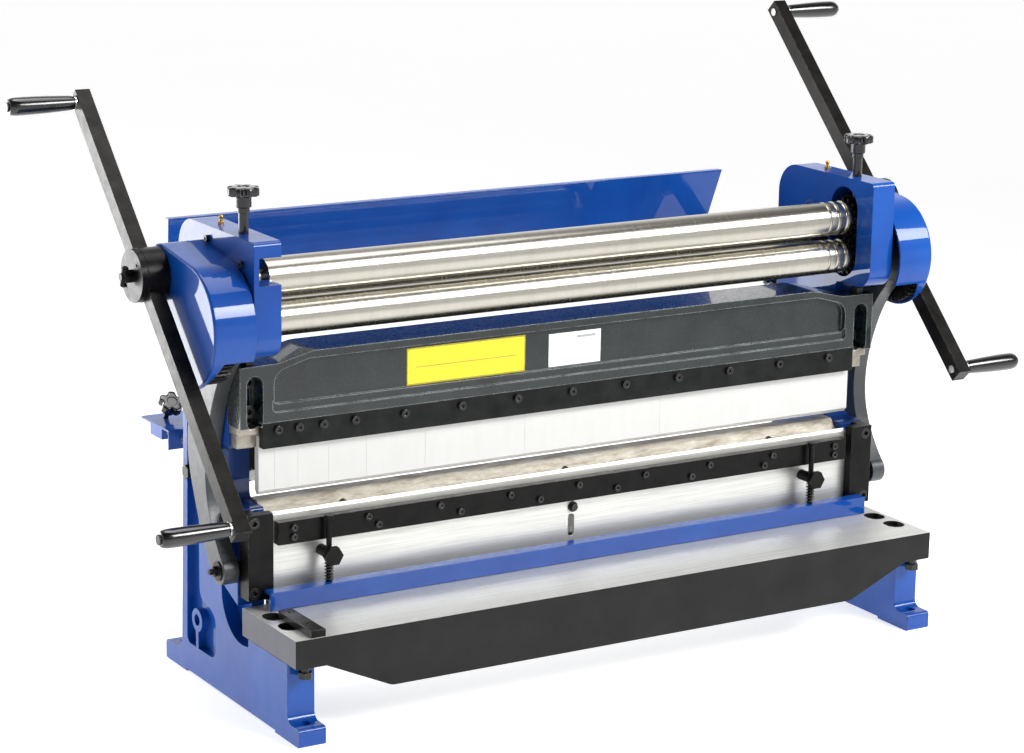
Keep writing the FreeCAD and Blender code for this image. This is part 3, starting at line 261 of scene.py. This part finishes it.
def roll_steel():
    """Long turned rolls: fine rings round the axis, a few broader bands, a brown oil film."""
    s = Shader("turned_roll_steel")
    s.soften(0.0005)
    turned = s.noise(1.0, 5, 0.7, (900, 3, 3))
    s.bump(turned, 0.04, 0.0002)
    rings = s.band(s.noise(1.0, 3, 0.6, (34, 0.8, 0.8)), 0.5, 0.75)
    color = s.mix(s.math("MULTIPLY", rings, 0.22), rgb(184, 181, 172), rgb(150, 145, 134))
    color = s.mix(s.band(turned, 0.4, 0.75, 0.0, 0.22), color, rgb(150, 146, 136))
    cloud = s.band(s.noise(4, 4, 0.5), 0.4, 0.7)
    color = s.mix(s.math("MULTIPLY", cloud, 0.18), color, rgb(168, 160, 142))
    return s.finish(color, s.band(turned, 0.3, 0.75, 0.2, 0.3), 1.0)


def table_iron():
    """Ground grey iron on top, dark painted casting on the other faces, with a painted reflection lightening
    the left end.
    """
    ground_level = 0.1490
    s = Shader("table_iron", Specular_IOR_Level=0.15)
    s.soften(0.0014)
    top = s.band(s.facing(2), 0.85, 0.97)
    high = s.band(s.axis(2), ground_level, ground_level + 0.0008)
    ground = s.math("MULTIPLY", top, high)
    streak = s.noise(1.0, 6, 0.7, (5, 460, 60), 0.6)
    scratch = s.band(s.noise(1.0, 5, 0.75, (200, 20, 60), 1.2), 0.54, 0.74)
    cloud = s.band(s.noise(4, 5, 0.6), 0.4, 0.75)
    bright = s.mix(s.band(streak, 0.3, 0.7), rgb(222, 222, 219), rgb(188, 188, 185))
    bright = s.mix(s.math("MULTIPLY", scratch, 0.28), bright, rgb(160, 158, 152))
    bright = s.mix(s.math("MULTIPLY", cloud, 0.22), bright, rgb(186, 182, 174))
    dark = s.mix(s.band(s.noise(14, 4), 0.3, 0.7), rgb(27, 28, 27), rgb(36, 37, 36))
    # Painted reflection: faces turned to -X, the table's left end, are lightened to lavender grey, as if
    # catching the bright light on the left.
    end = s.math("MULTIPLY", s.band(s.facing(0), -0.9, -0.97), 0.45)
    dark = s.mix(end, dark, rgb(150, 150, 160))
    s.bump(s.mix(ground, s.noise(60, 5, 0.6), streak), 0.10, 0.0006)
    rough = s.mix(ground, s.band(s.noise(50, 4), 0.3, 0.7, 0.42, 0.55), s.band(streak, 0.3, 0.7, 0.32, 0.46))
    return s.finish(s.mix(ground, dark, bright), rough, s.math("MULTIPLY", ground, 0.55))


def ram_iron():
    """Ground face, with the raw brown slope of the V left as cast."""
    slope_low, slope_high = 0.2665, 0.2892
    s = Shader("ram_iron")
    s.soften(0.0006)
    streak = s.noise(1.0, 6, 0.7, (8, 50, 420), 0.5)
    raw = s.math("MULTIPLY", s.band(s.axis(2), slope_low - 0.0010, slope_low),
                 s.band(s.axis(2), slope_high + 0.0003, slope_high))
    patch = s.noise(24, 6, 0.7, (1, 4, 4))
    face = s.mix(s.band(streak, 0.3, 0.72), rgb(222, 222, 218), rgb(192, 192, 189))
    brown = s.mix(s.band(patch, 0.35, 0.7), rgb(214, 209, 196), rgb(140, 127, 108))
    s.bump(s.mix(raw, streak, patch), 0.10, 0.0005)
    rough = s.mix(raw, s.band(streak, 0.3, 0.7, 0.28, 0.42), s.band(patch, 0.3, 0.7, 0.38, 0.55))
    return s.finish(s.mix(raw, face, brown), rough, s.band(raw, 0, 1, 0.6, 0.5))


def cast_iron_paint():
    s = Shader("dark_cast_paint", Coat_Weight=0.2, Coat_Roughness=0.25)
    s.soften(0.0022)
    s.bump(s.noise(60, 5, 0.6), 0.35, 0.0015)
    s.bump(s.noise(420, 3), 0.25, 0.0004)
    tone = s.band(s.noise(18, 5), 0.3, 0.7)
    color = s.mix(tone, rgb(48, 51, 54), rgb(66, 70, 73))
    return s.finish(color, s.band(s.noise(80, 4), 0.3, 0.7, 0.30, 0.46))


def black_plastic():
    s = Shader("black_phenolic", Coat_Weight=0.6, Coat_Roughness=0.04)
    s.soften(0.0006)
    s.bump(s.noise(60, 2), 0.03, 0.0005)
    tone = s.band(s.noise(40, 4), 0.3, 0.7)
    color = s.mix(tone, rgb(9, 9, 10), rgb(17, 17, 18))
    return s.finish(color, s.band(s.noise(90, 4), 0.3, 0.7, 0.16, 0.26))


def yellow_metal(name, light, dark, rough):
    """Bronze or brass; the ends of the crank bushes, high in the frames, are painted over blue."""
    bush_low, bush_high = 0.588, 0.630
    s = Shader(name)
    s.soften(0.0003)
    tone = s.band(s.noise(180, 5, 0.6), 0.3, 0.7)
    s.bump(s.noise(500, 3), 0.1, 0.0002)
    painted = s.math("MULTIPLY", s.band(s.axis(2), bush_low - 0.002, bush_low),
                     s.band(s.axis(2), bush_high + 0.002, bush_high))
    color = s.mix(painted, s.mix(tone, rgb(*light), rgb(*dark)), rgb(4, 68, 152))
    return s.finish(color, s.band(s.noise(200, 4), 0.3, 0.7, *rough), s.band(painted, 0, 1, 1, 0))


def plate_print():
    """A yellow plate with a border and one rule, then a pale data plate with blank rows beside it."""
    seam = -0.06
    face_x, face_z = (-0.2745, -0.0845), (0.4372, 0.4865)
    rule_x, rule_z = (-0.262, -0.097), (0.4595, 0.4615)
    row_pitch_scale = 62.0
    label_x, value_x, rows_z = (-0.036, 0.000), (0.008, 0.032), (0.441, 0.471)
    head_x, head_z = (0.006, 0.038), (0.4755, 0.4790)
    s = Shader("printed_plates", Coat_Weight=0.5, Coat_Roughness=0.1)
    x = s.axis(0)
    z = s.axis(2)

    def outside(value, low, high):
        return s.math("MAXIMUM", s.band(value, low + FADE, low), s.band(value, high - FADE, high))

    def inside(value, low, high):
        return s.math("MULTIPLY", s.band(value, low - FADE, low), s.band(value, high + FADE, high))

    tone = s.band(s.noise(30, 3), 0.3, 0.7)
    yellow = s.mix(s.math("MULTIPLY", tone, 0.4), rgb(250, 236, 20), rgb(240, 214, 16))
    border = s.math("MAXIMUM", outside(x, *face_x), outside(z, *face_z))
    yellow = s.mix(s.math("MULTIPLY", border, 0.75), yellow, rgb(150, 132, 30))
    rule = s.math("MULTIPLY", inside(x, *rule_x), inside(z, *rule_z))
    yellow = s.mix(s.math("MULTIPLY", rule, 0.7), yellow, rgb(176, 92, 36))
    pale = s.mix(s.math("MULTIPLY", tone, 0.3), rgb(238, 240, 242), rgb(222, 226, 230))
    rows = s.node("TexWave", wave_type="BANDS", bands_direction="Z")
    s.put(s.place, rows.inputs["Vector"])
    rows.inputs["Scale"].default_value = row_pitch_scale
    rows = s.math("MULTIPLY", s.band(rows.outputs["Fac"], 0.80, 0.86), inside(z, *rows_z))
    rows = s.math("MULTIPLY", rows, s.math("MAXIMUM", inside(x, *label_x), inside(x, *value_x)))
    head = s.math("MULTIPLY", inside(z, *head_z), inside(x, *head_x))
    pale = s.mix(s.math("MAXIMUM", s.math("MULTIPLY", rows, 0.45), s.math("MULTIPLY", head, 0.7)), pale,
                 rgb(96, 100, 108))
    s.bump(s.noise(60, 2), 0.03, 0.0005)
    color = s.mix(s.band(x, seam - FADE / 2, seam + FADE / 2), yellow, pale)
    return s.finish(color, s.band(s.noise(70, 3), 0.3, 0.7, 0.25, 0.38))


materials = {
    "blue_paint": blue_enamel(),
    "hammered_grey": hammered_enamel(),
    "blackened_steel": black_oxide("black_oxide_steel"),
    "bright_steel": ground_steel("ground_bright_steel", (238, 238, 236), (190, 190, 187), (30, 30, 500),
                                 (0.2, 0.34), 0.15, 0.85),
    "roll_steel": roll_steel(),
    "machined_iron": table_iron(),
    "dark_iron": cast_iron_paint(),
    "bronze": yellow_metal("bearing_bronze", (176, 132, 76), (140, 98, 52), (0.3, 0.45)),
    "brass": yellow_metal("brass_fitting", (208, 168, 92), (168, 128, 60), (0.2, 0.35)),
    "black_plastic": black_plastic(),
    "plate": plate_print(),
    "gear_steel": black_oxide("oiled_gear_steel", (22, 21, 21), (40, 38, 37), 0.7),
}
own_material = {
    "ram": ram_iron(),
    "fingers": ground_steel("ground_fingers", (210, 210, 208), (200, 200, 198), (60, 30, 14),
                            (0.36, 0.48), 0.1, 0.3),
    "finger_clamp_bar": black_oxide("clamp_bar_steel", (16, 18, 17), (34, 36, 35)),
    "left_crank_arm": black_oxide("crank_arm_steel", (22, 21, 20), (40, 38, 36), 0.5, (190, 188, 184)),
    "hold_down_springs": black_oxide("spring_wire", (70, 68, 66), (110, 107, 103), 0.8),
    "v_die_front_bar": ground_steel("die_bar_steel", (204, 203, 198), (160, 158, 152), (20, 300, 300),
                                    (0.3, 0.42), 0.2, 0.6),
    # The cap screws' pale edges are partly wear and partly painted highlight, standing in for the bright
    # rings of light round their heads.
    "frame_screws": black_oxide("black_cap_screws", (12, 12, 12), (26, 25, 25), 0.5, (190, 188, 184), 0.9),
    "left_grip_pins": pin_steel(),
}
for alike, first in (("right_crank_arm", "left_crank_arm"), ("right_grip_pins", "left_grip_pins"),
                     ("ram_screws", "frame_screws"), ("table_screws", "frame_screws")):
    own_material[alike] = own_material[first]


def dress(node):
    mesh = nodes[node].data
    mesh.materials.clear()
    mesh.materials.append(own_material.get(node, materials[node_slot[node]]))


for name in nodes:
    dress(name)


# ---------------------------------------------------------------- turned and moulded pieces

def lobed(count, depth):
    """Radius factor round a hand knob: wide rounded lobes with narrow valleys."""
    return lambda a: 1 - depth * (1 - math.tanh(2.0 * (math.cos(count * a) + 0.25))) / 2


def turned(mesh, at, axis, profile, segments=64, shape=None):
    """Add a closed turned body: (height, radius, lobed) stations along `axis` from `at`, in mm."""
    turn = Vector((0, 0, 1)).rotation_difference(Vector(axis).normalized()).to_matrix()
    base = Vector(at)
    rings = []
    for height, radius, follows in profile:
        ring = []
        for i in range(segments):
            angle = 2 * math.pi * i / segments
            r = radius * (shape(angle) if shape and follows else 1)
            point = base + turn @ Vector((r * math.cos(angle), r * math.sin(angle), height))
            ring.append(mesh.verts.new(point / 1000))
        rings.append(ring)
    for low, high in zip(rings, rings[1:]):
        for i in range(segments):
            j = (i + 1) % segments
            mesh.faces.new((low[i], low[j], high[j], high[i]))
    mesh.faces.new(list(reversed(rings[0])))
    mesh.faces.new(rings[-1])


def piece(name, mesh, body, material_slot, replaced=()):
    bmesh.ops.recalc_face_normals(mesh, faces=mesh.faces)
    data = bpy.data.meshes.new(name)
    mesh.to_mesh(data)
    mesh.free()
    for face in data.polygons:
        face.use_smooth = True
    data.set_sharp_from_angle(angle=math.radians(SHARP_DEGREES))
    data.materials.append(materials[material_slot])
    made = bpy.data.objects.new(name, data)
    bpy.context.scene.collection.objects.link(made)
    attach(made, body)
    if replaced:
        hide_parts(*replaced)


def plain(*stations):
    return [(height, radius, False) for height, radius in stations]


def knob_head(start, radius, thickness):
    """Stations of a lobed head with rounded rims and a shallow round dish in its end."""
    rise = ((0, 0.86), (1.0, 0.955), (2.2, 1.0), (thickness - 2.6, 1.0), (thickness - 1.1, 0.965),
            (thickness - 0.2, 0.88), (thickness, 0.72))
    head = [(start + height, radius * share, True) for height, share in rise]
    return head + [(start + thickness, radius * 0.42, False), (start + thickness - 1.2, radius * 0.36, False)]


def roll_screws():
    """Each node is one screw: a stepped stem with a lobed head, at its real height."""
    screw_x, screw_y = 521, -14
    for side, sign in SIDES:
        mesh = bmesh.new()
        stem = plain((640.3, 6.4), (641, 7), (700.4, 7), (701, 8.5), (707.4, 8.5), (708, 10.2), (709, 11),
                     (723, 11))
        turned(mesh, (sign * screw_x, screw_y, 0), (0, 0, 1), stem + knob_head(723.5, 22.5, 13),
               segments=128, shape=lobed(8, 0.26))
        node = side + "_roll_screw"
        piece(side + "_roll_screw_knob", mesh, node_body[node], "black_plastic", [node])


def gauge_knobs():
    """Clamp knobs on the back gauge's rod blocks, leaning forward."""
    rod_x, rod_y, rod_z = 450, 422, 292
    lean = (0, -0.63, 0.777)
    for side, sign in SIDES:
        mesh = bmesh.new()
        stem = plain((14, 4), (35.6, 4), (36, 8.2), (37, 9), (47.5, 9))
        turned(mesh, (sign * rod_x, rod_y, rod_z), lean, stem + knob_head(48, 20, 14),
               segments=100, shape=lobed(5, 0.3))
        node = side + "_gauge_knob"
        piece(side + "_gauge_knob_head", mesh, node_body[node], "black_plastic", [node])


def rear_screws():
    """Both adjusting screws of the rear roll, sloping down to the back; they share one node."""
    screw_x, start_y, start_z = 510, 50, 560
    mesh = bmesh.new()
    tilt = math.radians(30)
    axis = (0, math.cos(tilt), -math.sin(tilt))
    for sign in (-1, 1):
        stem = plain((18.3, 6), (137.6, 6), (138, 9.2), (139, 10), (149.6, 10))
        turned(mesh, (sign * screw_x, start_y, start_z), axis, stem + knob_head(150, 20, 12),
               segments=128, shape=lobed(8, 0.26))
    piece("rear_roll_screw_knobs", mesh, node_body["rear_roll_screws"], "black_plastic", ["rear_roll_screws"])


def grips():
    """Turned grips: a narrow neck by the arm, swelling outward, then a rounded end."""
    inner_x = 642.0
    neck_radius, swell, swell_steps = 10.5, 2.5, 16
    for side, sign in SIDES:
        for level in ("lower", "upper"):
            node = side + "_" + level + "_grip"
            low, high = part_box(node)
            centre = [(a + b) * 500 for a, b in zip(low, high)]
            length = (high[0] - low[0]) * 1000
            mesh = bmesh.new()
            stations = [(0, 9.2), (0.8, 9.9), (3, 10.2), (5, neck_radius)]
            for i in range(1, swell_steps + 1):
                share = i / swell_steps
                radius = neck_radius + swell * math.sin(share * math.pi * 0.56)
                stations.append((5 + share * (length - 15), radius))
            stations += [(length - 6.5, 12.5), (length - 3, 11.7), (length - 0.8, 10.4), (length, 8.8)]
            start = (sign * inner_x, centre[1], centre[2])
            turned(mesh, start, (sign, 0, 0), plain(*stations))
            piece(node + "_turned", mesh, node_body[node], "black_plastic", [node])


def hub_clamps():
    """The T-headed clamp screw standing out of each crank hub."""
    crank_y, crank_z = 73.6, 608.4
    hub_face, bar_x = 656, 659
    for side, sign in SIDES:
        mesh = bmesh.new()
        stem = plain((0, 8.6), (1.2, 9.6), (2.5, 8.6), (4, 6), (9, 5.4))
        turned(mesh, (sign * hub_face, crank_y, crank_z), (sign, 0, 0), stem, segments=40)
        bar = [(-15.5, 1.8), (-15, 3.6), (-13, 4.8), (-9, 4.6), (-4, 5.2), (4, 5.2), (9, 4.6), (13, 4.8),
               (15, 3.6), (15.5, 1.8)]
        turned(mesh, (sign * bar_x, crank_y, crank_z), (0, -0.3, 0.95), plain(*bar), segments=40)
        piece(side + "_hub_clamp_handle", mesh, side + "_crank", "blackened_steel")


roll_screws()
gauge_knobs()
rear_screws()
grips()
hub_clamps()


# ---------------------------------------------------------------- stage

def floor():
    half_size = 40
    mesh = bpy.data.meshes.new("studio_floor")
    made = bmesh.new()
    bmesh.ops.create_grid(made, x_segments=4, y_segments=4, size=half_size)
    made.to_mesh(mesh)
    made.free()
    plane = bpy.data.objects.new("studio_floor", mesh)
    bpy.context.scene.collection.objects.link(plane)
    s = Shader("pale_floor", Emission_Color=(1, 1, 1, 1), Emission_Strength=0.66)
    tone = s.band(s.noise(2, 3), 0.3, 0.7)
    mesh.materials.append(s.finish(s.mix(tone, (0.76, 0.76, 0.76, 1), (0.78, 0.78, 0.78, 1)), 0.7))


def area_light(name, at, target, width, depth, power, spread):
    data = bpy.data.lights.new(name, "AREA")
    data.energy = power
    data.shape = "RECTANGLE"
    data.size = width
    data.size_y = depth
    data.spread = math.radians(spread)
    made = bpy.data.objects.new(name, data)
    bpy.context.scene.collection.objects.link(made)
    made.location = at
    made.rotation_euler = (Vector(target) - Vector(at)).to_track_quat("-Z", "Y").to_euler()
    made.visible_camera = False


def world_band(tree, component, low, high, out_low, out_high):
    """Level of the sky along one component of its direction."""
    made = tree.nodes.new("ShaderNodeMapRange")
    for key, number in (("From Min", low), ("From Max", high), ("To Min", out_low), ("To Max", out_high)):
        made.inputs[key].default_value = number
    tree.links.new(component, made.inputs["Value"])
    return made.outputs["Result"]


def world_math(tree, operation, a, b):
    made = tree.nodes.new("ShaderNodeMath")
    made.operation = operation
    tree.links.new(a, made.inputs[0])
    tree.links.new(b, made.inputs[1])
    return made.outputs[0]


def sky():
    """White sky: dim in front, bright behind, darker overhead, with a bright band on the horizon."""
    world = bpy.data.worlds.new("studio")
    bpy.context.scene.world = world
    world.use_nodes = True
    tree = world.node_tree
    background = tree.nodes["Background"]
    place = tree.nodes.new("ShaderNodeTexCoord")
    split = tree.nodes.new("ShaderNodeSeparateXYZ")
    tree.links.new(place.outputs["Generated"], split.inputs[0])
    _, y, z = split.outputs
    behind = world_band(tree, y, -0.15, 0.45, 0.20, 1.15)
    overhead = world_band(tree, z, 0.50, 0.78, 1.0, 0.28)
    horizon = world_band(tree, z, 0.05, 0.20, 0.95, 0.0)
    level = world_math(tree, "MAXIMUM", world_math(tree, "MULTIPLY", behind, overhead), horizon)
    tree.links.new(level, background.inputs[1])
    background.inputs[0].default_value = (1, 1, 1, 1)


def lights():
    area_light("long_key_softbox", at=(1.75, -2.5, 2.35), target=(0.2, -0.1, 0.5),
               width=2.4, depth=1.2, power=30, spread=70)
    area_light("top_fill", at=(0.2, 0.2, 3.0), target=(0, 0, 0.4),
               width=2.4, depth=1.2, power=12, spread=90)
    area_light("left_rear_panel", at=(-1.35, 1.5, 0.42), target=(-0.55, 0, 0.5),
               width=1.3, depth=0.8, power=20, spread=180)


def camera():
    data = bpy.data.cameras.new("photo_camera")
    data.sensor_width = 36
    data.lens = 102.56
    data.clip_end = 60
    made = bpy.data.objects.new("photo_camera", data)
    bpy.context.scene.collection.objects.link(made)
    made.location = (-2.2180, -3.5302, 1.4257)
    made.rotation_euler = [math.radians(a) for a in (76.297, -0.882, -30.940)]
    bpy.context.scene.camera = made


floor()
sky()
lights()
camera()
bpy.context.scene.view_settings.view_transform = "Standard"
